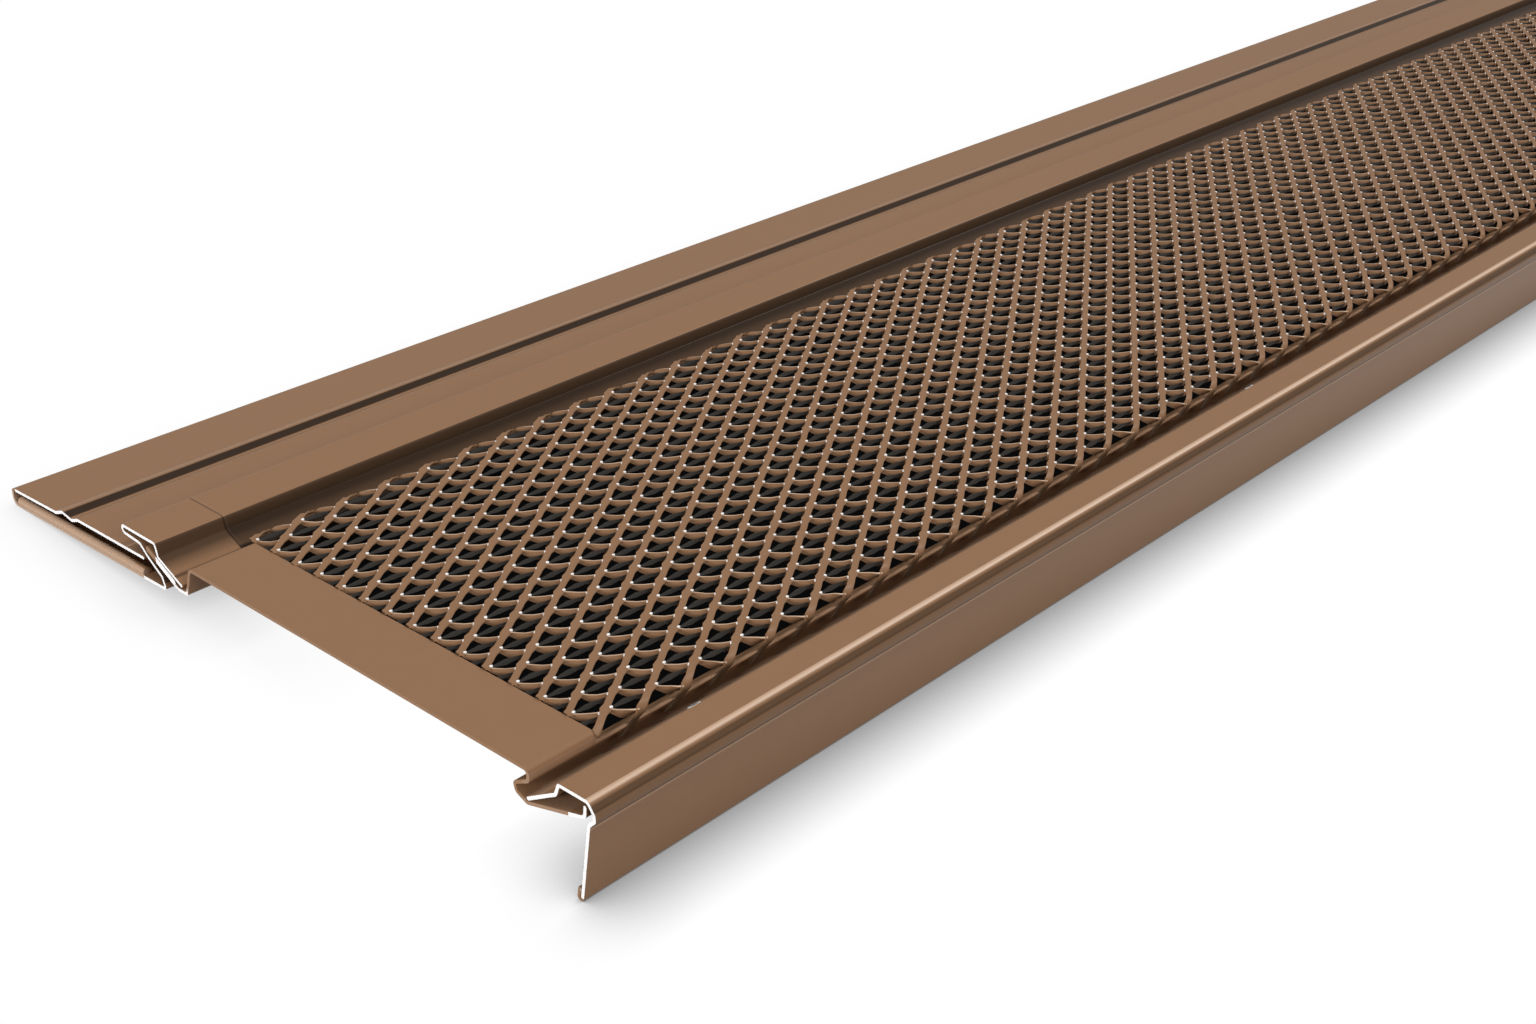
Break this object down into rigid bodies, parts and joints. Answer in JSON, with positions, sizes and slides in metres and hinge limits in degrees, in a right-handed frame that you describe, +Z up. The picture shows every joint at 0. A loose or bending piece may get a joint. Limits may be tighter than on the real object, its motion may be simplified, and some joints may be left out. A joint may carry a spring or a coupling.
{
  "type": "gutter guard",
  "caption": "Brown painted steel gutter guard: an expanded-mesh panel hooked into a rear flange, with a rolled front rail and a short front flange.",
  "frame": {"origin": "on the floor below the middle of the guard's box, as it lies on its two hems", "axes": "+X along the length, +Y from the front flange to the house side, +Z up"},
  "size_m": [0.9144, 0.1645, 0.0188],
  "materials": {
    "rear_flange": "satin brown paint",
    "panel_sheet": "satin brown paint",
    "front_rail": "satin brown paint",
    "mesh_1": "satin brown paint",
    "mesh_2": "satin brown paint",
    "mesh_3": "satin brown paint",
    "mesh_4": "satin brown paint",
    "mesh_5": "satin brown paint",
    "mesh_6": "satin brown paint",
    "mesh_7": "satin brown paint",
    "mesh_8": "satin brown paint"
  },
  "bodies": {
    "root": {"rear_flange": "rear_flange", "panel_sheet": "panel_sheet", "front_rail": "front_rail", "mesh_1": "mesh_1", "mesh_2": "mesh_2", "mesh_3": "mesh_3", "mesh_4": "mesh_4", "mesh_5": "mesh_5", "mesh_6": "mesh_6", "mesh_7": "mesh_7", "mesh_8": "mesh_8"}
  },
  "joints": []
}
